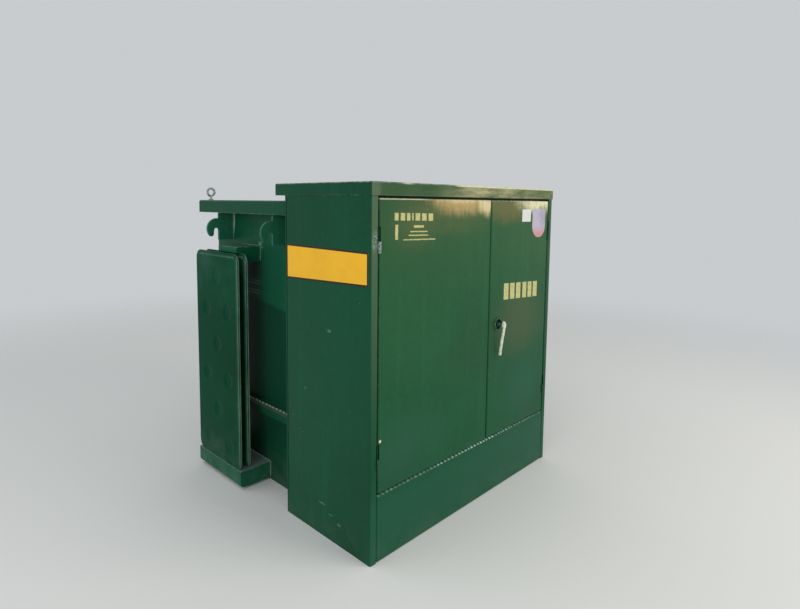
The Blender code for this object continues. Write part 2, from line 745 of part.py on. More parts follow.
def mesh_from_curve(obj):
    """Replaces a curve object by a closed mesh helper of the same shape and place."""
    graph = bpy.context.evaluated_depsgraph_get()
    mesh = bpy.data.meshes.new_from_object(obj.evaluated_get(graph))
    bm = bmesh.new()
    bm.from_mesh(mesh)
    bmesh.ops.remove_doubles(bm, verts=bm.verts, dist=MERGE_DISTANCE)
    bmesh.ops.recalc_face_normals(bm, faces=bm.faces)
    bm.to_mesh(mesh)
    bm.free()
    made = bpy.data.objects.new(obj.name + "_mesh", mesh)
    made.matrix_world = obj.matrix_world.copy()
    parts.objects.link(made)
    bpy.data.objects.remove(obj, do_unlink=True)
    return helper(made)


def handle_lever(x):
    """The shaft through the boss, its inner retainer, and the bent bar that is gripped."""
    place = Matrix.Translation((x, CABINET_FRONT, HANDLE_HEIGHT))
    turn_out = place @ Matrix.Rotation(math.radians(90), 4, "X")
    bm = bmesh.new()
    add_cylinder(bm, SHAFT_RADIUS, -CUP_DEPTH - SEAT_GAP - RETAINER_THICKNESS / 2, SHAFT_HEAD_PROUD / 2)
    bm.transform(turn_out)
    lever = mesh_object("handle_lever", bm, ZINC, metallic=1.0)
    bm = bmesh.new()
    low = -CUP_DEPTH - SEAT_GAP - RETAINER_THICKNESS
    add_cylinder(bm, RETAINER_RADIUS, low, low + RETAINER_THICKNESS)
    bm.transform(turn_out)
    retainer = helper(mesh_object("handle_retainer", bm, ZINC))
    bm = bmesh.new()
    add_cylinder(bm, SHAFT_HEAD_RADIUS, BOSS_PROUD + LEVER_RADIUS, SHAFT_HEAD_PROUD)
    bm.transform(turn_out)
    head = helper(mesh_object("handle_head", bm, ZINC))
    curve = bpy.data.curves.new("handle_bar", "CURVE")
    curve.dimensions = "3D"
    curve.bevel_depth = LEVER_RADIUS
    curve.bevel_resolution = LEVER_BEVEL_RESOLUTION
    curve.use_fill_caps = True
    curve.resolution_u = LEVER_RESOLUTION
    spline = curve.splines.new("BEZIER")
    route = [
        (0, -SHAFT_HEAD_PROUD / 2, 0),
        (0, -LEVER_STAND_OFF, LEVER_RISE - LEVER_RADIUS),
        (0, -LEVER_STAND_OFF, -LEVER_SHOULDER),
        (0, -(LEVER_STAND_OFF + LEVER_END_STAND_OFF) / 2, -LEVER_MIDDLE),
        (0, -LEVER_END_STAND_OFF, -LEVER_REACH),
    ]
    spline.bezier_points.add(len(route) - 1)
    for point, place_on in zip(spline.bezier_points, route):
        point.co = place_on
        point.handle_left_type = "AUTO"
        point.handle_right_type = "AUTO"
    bar = bpy.data.objects.new("handle_bar", curve)
    bar.matrix_world = place
    parts.objects.link(bar)
    bpy.context.view_layer.update()
    bar = mesh_from_curve(bar)
    for piece in (retainer, head, bar):
        boolean(lever, piece, "UNION")
    round_shading(lever)
    set_origin(lever, place.translation)


def main():
    tank()
    cabinet_frame()
    levels = HINGE_BASES.items()
    for label, side in (("left", -1), ("right", 1)):
        tank_rib(label, side)
        lid_eye(label, side)
        for place, y in HOOK_PLACES.items():
            lifting_hook(f"{label}_{place}", side, y)
        radiator(label, side)
        slots = [hinge_slot(label, side, level, base) for level, base in levels]
        cabinet_side(label, side, slots)
        for level, base in levels:
            hinge(label, side, level, base)
        share = LEFT_STIFFENER_SHARE if side < 0 else RIGHT_STIFFENER_SHARE
        leaf = door(label, side, SPLIT_X + side * DOOR_SEAM / 2, share, slots)
    handle_hole(leaf, HANDLE_X)
    handle_boss(HANDLE_X)
    handle_lever(HANDLE_X)


clear_scene()
parts = collection("pad_mounted_transformer")
cutters = collection("cutters", hidden=True)
main()
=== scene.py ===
import math
import random

import bmesh
import bpy
from mathutils import Matrix, Vector


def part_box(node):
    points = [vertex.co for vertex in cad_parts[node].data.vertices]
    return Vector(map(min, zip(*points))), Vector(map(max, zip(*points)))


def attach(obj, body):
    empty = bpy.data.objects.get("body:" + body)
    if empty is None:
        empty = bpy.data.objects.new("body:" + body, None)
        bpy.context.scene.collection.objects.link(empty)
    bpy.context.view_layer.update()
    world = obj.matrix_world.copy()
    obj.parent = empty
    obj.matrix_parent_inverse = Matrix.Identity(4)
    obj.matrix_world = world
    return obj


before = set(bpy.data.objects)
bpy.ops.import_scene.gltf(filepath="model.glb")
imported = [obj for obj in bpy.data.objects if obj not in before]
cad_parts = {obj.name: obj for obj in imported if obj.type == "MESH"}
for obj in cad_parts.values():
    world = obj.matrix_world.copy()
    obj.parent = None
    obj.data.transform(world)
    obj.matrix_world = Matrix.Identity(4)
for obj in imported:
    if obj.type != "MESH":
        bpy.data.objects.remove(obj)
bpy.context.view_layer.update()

# The photograph's camera: place in metres, angles in degrees, lens and sensor in millimetres
CAMERA_PLACE = (-2.0481, -2.4386, 1.4216)
CAMERA_YAW = 46.102
CAMERA_PITCH_DOWN = 5.2985
CAMERA_ROLL = 0.6114
CAMERA_LENS = 24.62
CAMERA_SENSOR = 36.0
CAMERA_SHIFT_Y = -0.0639

# Floor
FLOOR_TONE = (0.74, 0.735, 0.71)
FLOOR_SOLID_RADIUS = 2.6
FLOOR_FADE_RADIUS = 6.5
FLOOR_DROP = 0.0006
FLOOR_SIDES = 96

# Light
WORLD_TONE = (0.93, 0.97, 1.0)
WORLD_STRENGTH = 0.62

# Area lamps: name, place, target, width and height, watts, tone
LAMPS = (
    ("key", (1.6, -4.6, 3.4), (0.0, -0.5, 0.7), (3.2, 2.4), 98, (1.0, 0.97, 0.90)),
    ("sky", (-2.8, 1.2, 4.2), (0.0, 0.0, 0.7), (3.0, 3.0), 26, (0.92, 0.97, 1.0)),
    ("fill", (-4.6, -2.2, 1.9), (-0.6, 0.0, 0.8), (2.6, 2.0), 52, (0.95, 0.98, 1.0)),
)

# Enamels, linear
DOOR_GREEN = (0.005, 0.074, 0.027)
# Darker than the doors' green: painted shade on the cabinet's sides; its front faces take the
# doors' green
CABINET_GREEN = (0.002, 0.053, 0.023)
TANK_GREEN = (0.006, 0.070, 0.035)
PANEL_GREEN = (0.001, 0.046, 0.021)
# Lighter than the tank's green, as painted light on the radiator headers
HEADER_GREEN = (0.006, 0.080, 0.040)
# Lighter than the tank's green, as painted light on the lifting hooks
LIT_HOOK_GREEN = (0.016, 0.115, 0.062)
BOSS_GREEN = (0.010, 0.062, 0.036)
AXLE_GREEN = (0.022, 0.085, 0.050)
HINGE_GREEN = (0.012, 0.070, 0.040)
WORN_HINGE_GREEN = (0.05, 0.12, 0.085)
# Lighter than the tank's green: worn paint on the beads and painted highlight
WELD_GREEN = (0.045, 0.130, 0.085)
STITCH_GREEN = (0.16, 0.27, 0.19)
OVERSPRAY_AND_SHEEN_GREEN = (0.05, 0.14, 0.09)

# Painted shade, painted sheen and painted highlights, and enamel that sun has changed, linear
SHADED_GREEN = (0.012, 0.098, 0.050)
SHEEN_TEAL = (0.026, 0.100, 0.058)
SILL_EDGE_GREEN = (0.020, 0.090, 0.050)
STILE_HIGHLIGHT_GREEN = (0.24, 0.30, 0.20)
PANEL_SHEEN_GREEN = (0.07, 0.15, 0.12)
OLIVE = (0.105, 0.140, 0.060)
RUBBED_OLIVE = (0.115, 0.115, 0.062)
BLEACHED = (0.80, 0.67, 0.37)
CHALK_AND_HIGHLIGHT = (0.90, 0.82, 0.52)
TANNED = (0.56, 0.39, 0.16)
BROWNED = (0.27, 0.18, 0.06)

# Rubbed and bare places, and painted highlights and glare, linear
WEAR_AND_HIGHLIGHT_GREEN = (0.26, 0.38, 0.28)
SEAM_SHINE = (0.48, 0.72, 0.54)
WALL_GLARE = (0.40, 0.48, 0.40)
WELD_RUB_AND_HIGHLIGHT = (0.34, 0.42, 0.34)
STITCH_RUB_AND_HIGHLIGHT = (0.52, 0.60, 0.50)
AXLE_SHINE = (0.30, 0.42, 0.32)
BARE_PRIMER = (0.42, 0.40, 0.32)
SCUFFED_STEEL = (0.34, 0.38, 0.35)
RUST = (0.16, 0.055, 0.018)
ZINC = (0.72, 0.74, 0.60)
GREY_ZINC = (0.36, 0.38, 0.35)
ZINC_BLOOM = (0.88, 0.90, 0.72)

# Dust, a pale grey for the lower header's top, sprayed marks and films, linear
DUST = (0.34, 0.33, 0.27)
HEADER_TOP_GREY = (0.17, 0.23, 0.22)
DIRT = (0.12, 0.10, 0.06)
STENCIL_YELLOW = (0.62, 0.58, 0.25)
FILM_YELLOW = (0.88, 0.46, 0.010)
FILM_BORDER = (0.012, 0.013, 0.002)
FILM_WHITE = (0.78, 0.78, 0.72)
FILM_LAVENDER = (0.50, 0.45, 0.56)
FILM_ROSE = (0.60, 0.28, 0.30)

# Sun-bleached areas of the doors: place from their top corner at the seam, reach, colour, strength
SUN_PATCHES = (
    ((-0.24, -0.028), (0.46, 0.22), BROWNED, 0.20),
    ((0.14, -0.008), (0.34, 0.17), BROWNED, 0.52),
    ((-0.22, 0.012), (0.36, 0.135), TANNED, 0.95),
    ((-0.035, 0.007), (0.12, 0.125), BLEACHED, 1.0),
    ((-0.22, 0.020), (0.36, 0.060), BLEACHED, 0.9),
    ((0.42, 0.014), (0.33, 0.125), CHALK_AND_HIGHLIGHT, 1.0),
)

# Scrapes on the left side wall: Y, Z, half width, half height
SIDE_SCRAPES = (
    (-0.713, 0.897, 0.016, 0.010),
    (-0.690, 0.900, 0.007, 0.004),
    (-0.664, 0.142, 0.030, 0.006),
    (-0.720, 0.112, 0.020, 0.004),
    (-0.775, 0.090, 0.016, 0.008),
    (-0.548, 0.620, 0.004, 0.010),
)

# Left tank wall: a painted shadow's edge at Y = 0, its rise, and light stripes under the upper
# header
SHADOW_EDGE_HEIGHT = 0.924
SHADOW_EDGE_SLOPE = 0.137
STRIPE_DROPS = (0.102, 0.117, 0.152, 0.167)

# Dots along the sill's seam, and the usual width of paint worn along an edge
SEAM_DOT_PITCH = 0.0245
EDGE_WEAR = 0.003

# Sprayed blocks from each group's left bottom corner: (start, end) or (start, end, low, high)
STENCIL_SOFT = 0.0025
STENCIL_WANDER = 0.005
TITLE_LEVELS = (0.080, 0.112)
TITLE_BLOCKS = (
    (0.0, 0.024),
    (0.034, 0.061),
    (0.069, 0.091),
    (0.099, 0.110),
    (0.119, 0.149),
    (0.158, 0.188),
    (0.198, 0.229),
)
TITLE_LINES = (
    (0.004, 0.022, 0.006, 0.066),
    (0.110, 0.172, 0.052, 0.064),
    (0.090, 0.195, 0.034, 0.041),
    (0.080, 0.200, 0.019, 0.026),
    (0.050, 0.245, 0.002, 0.009),
)
TITLE_SLOPE = -0.02
RATING_HEIGHT = 0.083
RATING_BLOCKS = (
    (0.0, 0.044),
    (0.055, 0.099),
    (0.110, 0.154),
    (0.171, 0.211),
    (0.222, 0.262),
    (0.273, 0.316),
)
RATING_SLOPE = -0.054

# Films, in metres; tilt lifts one end, and flare is a share of the height
FILM_LIFT = 0.0002
FILM_THICKNESS = 0.0004
FILM_CORNER_STEPS = 6
FILM_RIM = 0.009
NUMBER_FILM_HEIGHT = 0.144
NUMBER_FILM_LEVEL = 1.1656
NUMBER_FILM_FRONT_GAP = 0.018
NUMBER_FILM_REAR_GAP = 0.001
NUMBER_FILM_CORNER = 0.011
NUMBER_FILM_TILT = 0.007
NUMBER_FILM_FLARE = 0.14

# Weld beads: lengths in metres, and shares of a bead's radius or length
PLATE_WELD_RADIUS = 0.0045
PLATE_WELD_INSET = 0.0025
PLATE_WELD_SETBACK = 0.0015
PLATE_WELD_FOOT = 0.004
PLATE_WELD_OVER_LID = 0.03
WELD_RADIUS = 0.004
HOOK_WELD_FOOT = 0.002
RIB_WELD_RADIUS = 0.006
RIB_WELD_END_GAP = 0.01
RIB_STITCH = 0.022
RIB_STITCH_GAP = 0.009
BEAD_SIDES = 8
BEAD_STEP_SHARE = 0.55
BEAD_RIPPLE_SHARE = 0.13
BEAD_RIPPLE_TURN = 1.9
BEAD_UNEVEN_SHARE = 0.07
BEAD_WANDER_SHARE = 0.05
BEAD_END_POWER = 24
BEAD_END_SHARE = 0.02

# Bends of the frame's meshes flatter than this many degrees are shaded smooth
SMOOTH_BEND = 34

# Sockets of a Mix node: the factor, and the two numbers or the two colours that it mixes
MIX_FACTOR = 0
MIX_NUMBERS = (2, 3)
MIX_COLORS = (6, 7)
MIXED_NUMBER = 0
MIXED_COLOR = 2


class Graph:
    """A material's nodes. Each value is a number, a colour or another node's output.

    The object's coordinates are the frame's, in metres, so that a mark stays on its surface.
    In the functions below, g is the graph of the material that they make or mark.
    """

    def __init__(self, name, color, roughness, specular=0.5, metallic=0.0):
        self.material = bpy.data.materials.new(name)
        self.material.use_nodes = True
        self.tree = self.material.node_tree
        self.shader = self.tree.nodes["Principled BSDF"]
        self.shader.inputs["Specular IOR Level"].default_value = specular
        self.shader.inputs["Metallic"].default_value = metallic
        coords = self.tree.nodes.new("ShaderNodeTexCoord")
        self.position = coords.outputs["Object"]
        self.x, self.y, self.z = self.split(self.position)
        self.normal_x, self.normal_y, self.normal_z = self.split(coords.outputs["Normal"])
        self.color = color
        self.roughness = roughness
        self.relief = None

    def put(self, socket, value):
        if isinstance(value, bpy.types.NodeSocket):
            self.tree.links.new(value, socket)
        elif socket.type == "RGBA":
            socket.default_value = (*value, 1.0)
        else:
            socket.default_value = value

    def split(self, vector):
        node = self.tree.nodes.new("ShaderNodeSeparateXYZ")
        self.put(node.inputs[0], vector)
        return node.outputs

    def math(self, operation, *values, clamp=False):
        node = self.tree.nodes.new("ShaderNodeMath")
        node.operation = operation
        node.use_clamp = clamp
        for socket, value in zip(node.inputs, values):
            self.put(socket, value)
        return node.outputs[0]

    def times(self, *values):
        product = values[0]
        for value in values[1:]:
            product = self.math("MULTIPLY", product, value)
        return product

    def either(self, *values):
        """The largest of the values."""
        most = values[0]
        for value in values[1:]:
            most = self.math("MAXIMUM", most, value)
        return most

    def linear(self, value, factor, base, clamp=False):
        """A value times a factor, plus a base."""
        return self.math("ADD", self.times(value, factor), base, clamp=clamp)

    def away(self, value, centre=0.0):
        """The distance of a value from a centre."""
        return self.math("ABSOLUTE", self.math("SUBTRACT", value, centre))

    def distance(self, across, up):
        """The distance of the point (across, up) from (0, 0)."""
        return self.math("SQRT", self.math("ADD", self.times(across, across), self.times(up, up)))

    def ramp(self, value, start, end):
        """0 at start and 1 at end, with a smooth run between; start may be the larger."""
        node = self.tree.nodes.new("ShaderNodeMapRange")
        node.interpolation_type = "SMOOTHSTEP"
        low, high = min(start, end), max(start, end)
        rising = (0.0, 1.0) if end > start else (1.0, 0.0)
        for socket, number in zip(node.inputs, (value, low, high, *rising)):
            self.put(socket, number)
        return node.outputs[0]

    def near(self, value, centre, reach, soft):
        """1 within reach of centre, falling to 0 over soft."""
        return self.ramp(self.away(value, centre), reach + soft, reach)

    def patch(self, centre, reach, soft=1.0, on_side=False):
        """A soft oval in the plane of X and Z, or of Y and Z; soft is the share that fades."""
        along = self.y if on_side else self.x
        across = self.math("DIVIDE", self.math("SUBTRACT", along, centre[0]), reach[0])
        up = self.math("DIVIDE", self.math("SUBTRACT", self.z, centre[1]), reach[1])
        return self.ramp(self.distance(across, up), 1.0, 1.0 - soft)

    def front(self):
        """1 on faces that look to the front."""
        return self.ramp(self.normal_y, -0.3, -0.8)

    def place(self, stretch):
        """The place on the object, with each axis multiplied by a number of stretch."""
        if stretch is None:
            return self.position
        node = self.tree.nodes.new("ShaderNodeMapping")
        self.put(node.inputs["Vector"], self.position)
        node.inputs["Scale"].default_value = stretch
        return node.outputs[0]

    def noise(self, scale, detail, seed=0.0, rough=0.5, stretch=None):
        node = self.tree.nodes.new("ShaderNodeTexNoise")
        node.noise_dimensions = "4D"
        self.put(node.inputs["Vector"], self.place(stretch))
        node.inputs["W"].default_value = seed
        node.inputs["Scale"].default_value = scale
        node.inputs["Detail"].default_value = detail
        node.inputs["Roughness"].default_value = rough
        return node.outputs[0]

    def blotches(self, scale, detail, levels, seed=0.0, rough=0.5, stretch=None):
        """Noise as blotches: 0 up to the first of two levels and 1 from the second."""
        return self.ramp(self.noise(scale, detail, seed, rough, stretch), *levels)

    def specks(self, scale, size, share):
        """Small irregular dots in a share of the cells, each up to size times the cell."""
        node = self.tree.nodes.new("ShaderNodeTexVoronoi")
        self.put(node.inputs["Vector"], self.position)
        node.inputs["Scale"].default_value = scale
        chance = self.split(node.outputs["Color"])[0]
        uneven = self.times(self.noise(scale * 6, 3.0), size)
        ragged = self.math("ADD", node.outputs["Distance"], uneven)
        dot = self.ramp(ragged, size * 1.6, size * 1.2)
        return self.times(dot, self.math("GREATER_THAN", chance, 1.0 - share))

    def hairs(self, scale, width, seed, stretch):
        """Thin curling lines, such as hairline scratches."""
        return self.ramp(self.away(self.noise(scale, 1.0, seed, stretch=stretch), 0.5), width, 0.0)

    def mix(self, factor, first, second, blend="MIX"):
        """The first colour at factor 0; at 1 the second, or for MULTIPLY their product."""
        node = self.tree.nodes.new("ShaderNodeMix")
        node.data_type = "RGBA"
        node.blend_type = blend
        self.put(node.inputs[MIX_FACTOR], factor)
        for socket, color in zip(MIX_COLORS, (first, second)):
            self.put(node.inputs[socket], color)
        return node.outputs[MIXED_COLOR]

    def blend_number(self, factor, first, second):
        """The first number at factor 0 and the second at 1."""
        node = self.tree.nodes.new("ShaderNodeMix")
        self.put(node.inputs[MIX_FACTOR], factor)
        for socket, number in zip(MIX_NUMBERS, (first, second)):
            self.put(node.inputs[socket], number)
        return node.outputs[MIXED_NUMBER]

    def cover(self, mask, color, roughness=None):
        """Lays a colour over what is there where mask is 1, and a roughness if one is given."""
        self.color = self.mix(mask, self.color, color)
        if roughness is not None:
            self.roughness = self.blend_number(mask, self.roughness, roughness)

    def shade(self, mask, amount):
        """Makes the colour lighter (amount over 1) or darker where mask is 1."""
        self.color = self.mix(mask, self.color, (amount, amount, amount), "MULTIPLY")

    def emboss(self, height, distance):
        """Raises the surface by up to distance where height is 1, on top of earlier relief."""
        node = self.tree.nodes.new("ShaderNodeBump")
        self.put(node.inputs["Height"], height)
        node.inputs["Distance"].default_value = distance
        if self.relief is not None:
            self.put(node.inputs["Normal"], self.relief)
        self.relief = node.outputs[0]

    def done(self):
        self.put(self.shader.inputs["Base Color"], self.color)
        self.put(self.shader.inputs["Roughness"], self.roughness)
        if self.relief is not None:
            self.put(self.shader.inputs["Normal"], self.relief)
        return self.material


def start_enamel(name, color, roughness=0.30, specular=0.13):
    """Brushed and sprayed enamel: uneven tone, faint runs, orange peel and sheet waviness."""
    g = Graph(name, color, roughness, specular)
    g.shade(g.blotches(1.7, 3.0, (0.35, 0.65), seed=1.0), 1.22)
    g.shade(g.blotches(38.0, 5.0, (0.40, 0.68), rough=0.6), 1.10)
    runs = g.blotches(1.0, 4.0, (0.50, 0.72), seed=3.0, rough=0.6, stretch=(26.0, 26.0, 1.3))
    g.shade(runs, 1.16)
    uneven = g.noise(9.0, 4.0, seed=5.0, rough=0.65)
    g.roughness = g.blend_number(uneven, roughness - 0.08, roughness + 0.12)
    g.emboss(g.noise(2.4, 1.0, seed=7.0), 0.0040)
    g.emboss(g.noise(420.0, 1.0, seed=9.0), 0.00006)
    return g


def weather(g, dust=0.5, splash=0.10, chips=0.04, ground=0.16):
    """Dust on ledges, splashes near the ground, hairline scratches and chips down to the primer."""
    drift = g.blotches(2.2, 8.0, (0.25, 0.80), seed=12.0, rough=0.72)
    grit = g.blotches(85.0, 4.0, (0.40, 0.66), seed=14.0, rough=0.7)
    settled = g.math("ADD", g.linear(grit, 0.12, g.times(drift, 0.26)), 0.30)
    ledge = g.times(g.ramp(g.normal_z, 0.55, 0.95), settled)
    g.cover(g.times(ledge, dust), DUST, 0.72)
    low_down = g.ramp(g.z, ground, 0.0)
    broken = g.blotches(14.0, 6.0, (0.38, 0.66), seed=11.0, rough=0.7)
    g.cover(g.times(low_down, broken, splash), DUST, 0.6)
    g.cover(g.times(g.specks(95.0, 0.13, 0.20), low_down, 0.40), DUST, 0.8)
    some = g.blotches(4.0, 3.0, (0.56, 0.70), seed=13.0)
    scratch = g.times(g.hairs(5.0, 0.0012, seed=15.0, stretch=(1.0, 1.0, 3.5)), some)
    g.cover(g.times(scratch, 0.18), BARE_PRIMER, 0.6)
    chip = g.specks(21.0, 0.035, chips)
    g.cover(g.times(chip, 0.85), BARE_PRIMER, 0.7)
    g.emboss(g.math("SUBTRACT", 1.0, chip), 0.0002)


def wear_edge(g, along, edge, amount, width=EDGE_WEAR):
    """Paint worn through along a straight edge of an upright face, broken up along its length."""
    ragged = g.blotches(55.0, 5.0, (0.46, 0.60), seed=17.0 + edge, rough=0.75)
    upright = g.ramp(g.away(g.normal_z), 0.97, 0.80)
    worn = g.times(g.near(along, edge, width * 0.4, width), ragged, upright, amount)
    g.cover(worn, BARE_PRIMER, 0.7)


def block_mask(g, across, up, left, right, bottom, top):
    """1 inside an upright block with soft edges."""
    wide = g.near(across, (left + right) / 2, (right - left) / 2 - STENCIL_SOFT, STENCIL_SOFT)
    tall = g.near(up, (bottom + top) / 2, (top - bottom) / 2 - STENCIL_SOFT, STENCIL_SOFT)
    return g.times(wide, tall)


def stencil(g, left, bottom, blocks, slope):
    """Plain sprayed blocks, as (start, end, low, high) from the left bottom corner."""
    across = g.math("SUBTRACT", g.x, left)
    up = g.math("SUBTRACT", g.math("SUBTRACT", g.z, bottom), g.times(across, slope))
    sideways = g.math("SUBTRACT", g.noise(90.0, 3.0, seed=19.0), 0.5)
    upward = g.math("SUBTRACT", g.noise(90.0, 3.0, seed=23.0), 0.5)
    across = g.linear(sideways, STENCIL_WANDER, across)
    up = g.linear(upward, STENCIL_WANDER, up)
    mask = g.either(*[block_mask(g, across, up, *block) for block in blocks])
    thin = g.linear(g.blotches(60.0, 5.0, (0.30, 0.52), seed=21.0, rough=0.7), 0.5, 0.5)
    flat_front = g.ramp(g.normal_y, -0.9, -0.99)
    g.cover(g.times(mask, thin, flat_front, 0.9), STENCIL_YELLOW, 0.55)


def sun_haze(g):
    """Enamel of the front: bluer near the ground, olive with height and to the right."""
    front = g.front()
    g.cover(g.times(front, g.ramp(g.z, 0.34, 0.20), 0.8), SHADED_GREEN)
    lower = g.times(g.ramp(g.z, 0.42, 0.90), 0.09)
    upper = g.times(g.ramp(g.z, 0.85, 1.42), 0.15)
    right = g.linear(g.ramp(g.x, 0.0, 0.45), 0.35, 1.0)
    g.cover(g.times(front, g.math("ADD", lower, upper), right), OLIVE, 0.38)


def sun_patches(g, seam, top):
    """Bleached areas with ragged, streaky edges, each on its own side of the doors' seam."""
    front = g.front()
    drips = g.noise(1.0, 6.0, seed=25.0, rough=0.65, stretch=(34.0, 34.0, 5.0))
    clouds = g.noise(1.0, 6.0, seed=26.0, rough=0.62, stretch=(11.0, 11.0, 26.0))
    ragged = g.math("SUBTRACT", g.linear(clouds, 0.7, g.times(drips, 1.1)), 0.9)
    grain = g.noise(1.0, 6.0, seed=28.0, rough=0.7, stretch=(95.0, 95.0, 22.0))
    worn = g.linear(g.math("SUBTRACT", grain, 0.25), 0.9, 0.55, clamp=True)
    for (across, up), reach, color, strength in SUN_PATCHES:
        beyond = "LESS_THAN" if across < 0 else "GREATER_THAN"
        door = g.math(beyond, g.x, seam + 0.002)
        spot = g.times(g.patch((seam + across, top + up), reach), door)
        field = g.linear(ragged, g.linear(spot, 1.3, 0.15), spot)
        mask = g.times(g.ramp(field, 0.10, 0.78), worn, front, door, strength)
        g.cover(mask, color, 0.5)


def door_marks(g, low, high):
    """Rubbed, bleached, chipped places, painted shade, sheen and highlights; low and high are the
    left door's corners.
    """
    front = g.front()
    seam = high.x
    rubbed = g.patch((seam + 0.27, low.z + 0.547), (0.30, 0.26), 0.8)
    above = g.ramp(g.z, low.z + 0.317, low.z + 0.397)
    g.cover(g.times(rubbed, above, front, 0.38), RUBBED_OLIVE, 0.45)
    browned = g.patch((low.x + 0.197, high.z - 0.098), (0.22, 0.16))
    g.cover(g.times(browned, front, 0.20), BROWNED, 0.45)
    sun_patches(g, seam, high.z)
    # Painted highlight along the left door's folded top edge
    top_edge = g.times(g.near(g.z, high.z, 0.003, 0.003), g.ramp(g.x, low.x + 0.327, low.x + 0.207))
    g.cover(g.times(top_edge, 0.75), CHALK_AND_HIGHLIGHT, 0.5)
    # Painted highlight along the door edge beside the seam
    seam_edge = g.times(g.near(g.x, seam, 0.003, 0.003), g.ramp(g.z, low.z + 0.267, low.z + 0.517))
    g.cover(g.times(seam_edge, front, 0.35), WEAR_AND_HIGHLIGHT_GREEN, 0.4)
    shaded = g.patch((seam + 0.33, low.z + 0.197), (0.24, 0.26))
    g.cover(g.times(shaded, front, 0.85), SHADED_GREEN)
    # Painted sheen, greyish teal, low on the left door
    low_sheen = g.patch((low.x + 0.107, low.z + 0.137), (0.46, 0.24))
    g.cover(g.times(low_sheen, front, 0.55), SHEEN_TEAL, 0.36)
    chip = g.patch((low.x + 0.009, low.z + 0.212), (0.008, 0.008), 0.5)
    g.cover(g.times(chip, front, 0.8), CHALK_AND_HIGHLIGHT, 0.6)


def door_enamel():
    """Front enamel, bleached under the roof lip, with sprayed marks in plain blocks."""
    g = start_enamel("door_enamel", DOOR_GREEN)
    low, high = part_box("door_left")
    sun_haze(g)
    door_marks(g, low, high)
    weather(g, dust=0.25, splash=0.0)
    # Worn paint and a painted highlight along the doors' top edge
    wear_edge(g, g.z, high.z, 0.9, width=0.006)
    wear_edge(g, g.x, low.x, 0.10)
    title = [(start, end, *TITLE_LEVELS) for start, end in TITLE_BLOCKS]
    stencil(g, low.x + 0.077, high.z - 0.166, [*title, *TITLE_LINES], TITLE_SLOPE)
    low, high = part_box("door_right")
    rating = [(start, end, 0.0, RATING_HEIGHT) for start, end in RATING_BLOCKS]
    stencil(g, low.x + 0.118, high.z - 0.487, rating, RATING_SLOPE)
    return g.done()


def side_marks(g):
    """Small scrapes on the cabinet's left side wall."""
    wall = g.ramp(g.normal_x, -0.8, -0.95)
    ragged = g.blotches(170.0, 4.0, (0.40, 0.56), seed=53.0, rough=0.7)
    for y, z, wide, tall in SIDE_SCRAPES:
        spot = g.patch((y, z), (wide, tall), 0.6, on_side=True)
        g.cover(g.times(spot, ragged, wall, 0.38), WEAR_AND_HIGHLIGHT_GREEN, 0.5)


def roof_fading(g, low, high):
    """Bleached lip, most so near the middle of the front, and a top that is tanned forwards."""
    roof = g.ramp(g.z, low.z - 0.001, low.z)
    clouds = g.blotches(1.0, 5.0, (0.24, 0.76), seed=27.0, rough=0.65, stretch=(6.0, 6.0, 26.0))
    middle = g.ramp(g.away(g.x, 0.06), 0.42, 0.0)
    amount = g.times(g.ramp(g.x, -0.38, -0.02), g.linear(middle, 0.44, 0.22))
    g.cover(g.times(roof, g.front(), clouds, g.math("ADD", amount, 0.05)), BLEACHED, 0.55)
    top = g.ramp(g.normal_z, 0.5, 0.9)
    forward = g.ramp(g.y, high.y, low.y)
    g.cover(g.times(roof, top, g.linear(forward, 0.10, 0.03)), TANNED, 0.6)


def stile_highlight_and_scuffs(g):
    """The stile left of the doors, with a painted highlight along its height, and scuffed beside
    the upper hinge.
    """
    front = g.front()
    low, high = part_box("door_left")
    beside_door = g.ramp(g.x, low.x + 0.012, low.x - 0.013)
    stile = g.times(front, beside_door, g.ramp(g.z, low.z + 0.067, high.z - 0.038))
    # Painted highlight along the stile
    g.cover(g.times(stile, 0.22), STILE_HIGHLIGHT_GREEN, 0.4)
    low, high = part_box("hinge_left_upper_post_half")
    beside_hinge = g.patch((low.x - 0.012, (low.z + high.z) / 2 + 0.02), (0.026, 0.055), 0.6)
    scuffs = g.blotches(140.0, 4.0, (0.46, 0.58), seed=65.0, rough=0.7)
    g.cover(g.times(beside_hinge, scuffs, front, 0.6), SCUFFED_STEEL, 0.5)


def sill_seam(g):
    """A green top edge on the sill, and a row of uneven bright dots along it."""
    low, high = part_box("front_sill")
    between = g.near(g.x, 0.0, high.x - 0.001, 0.001)
    edge = g.times(g.near(g.z, high.z, 0.004, 0.002), between)
    g.cover(g.times(edge, g.ramp(g.y, low.y + 0.060, low.y + 0.040)), SILL_EDGE_GREEN)
    wander = g.times(g.noise(16.0, 3.0, seed=29.0), 9.0)
    wave = g.math("SINE", g.linear(g.x, math.tau / SEAM_DOT_PITCH, wander))
    dots = g.times(g.near(g.z, high.z - 0.002, 0.002, 0.003), g.ramp(wave, -0.7, 0.8))
    middle = g.linear(g.patch((0.04, high.z), (0.55, 0.55)), 0.66, 0.28)
    uneven = g.linear(g.blotches(30.0, 4.0, (0.38, 0.62), seed=77.0, rough=0.7), 0.65, 0.35)
    g.cover(g.times(dots, middle, uneven, between), SEAM_SHINE, 0.6)


def roof_edges(g, low, high):
    """A broken painted highlight on the roof's upper front bend, and paint worn along its edges."""
    gleam = g.times(g.near(g.z, high.z - 0.002, 0.003, 0.003), g.ramp(g.normal_y, -0.05, -0.4))
    broken = g.either(g.blotches(3.4, 2.0, (0.46, 0.56), seed=67.0), g.ramp(g.x, 0.05, 0.25))
    g.cover(g.times(gleam, broken, 0.75), CHALK_AND_HIGHLIGHT, 0.5)
    wear_edge(g, g.z, high.z, 0.9, width=0.004)
    wear_edge(g, g.z, low.z, 0.12)


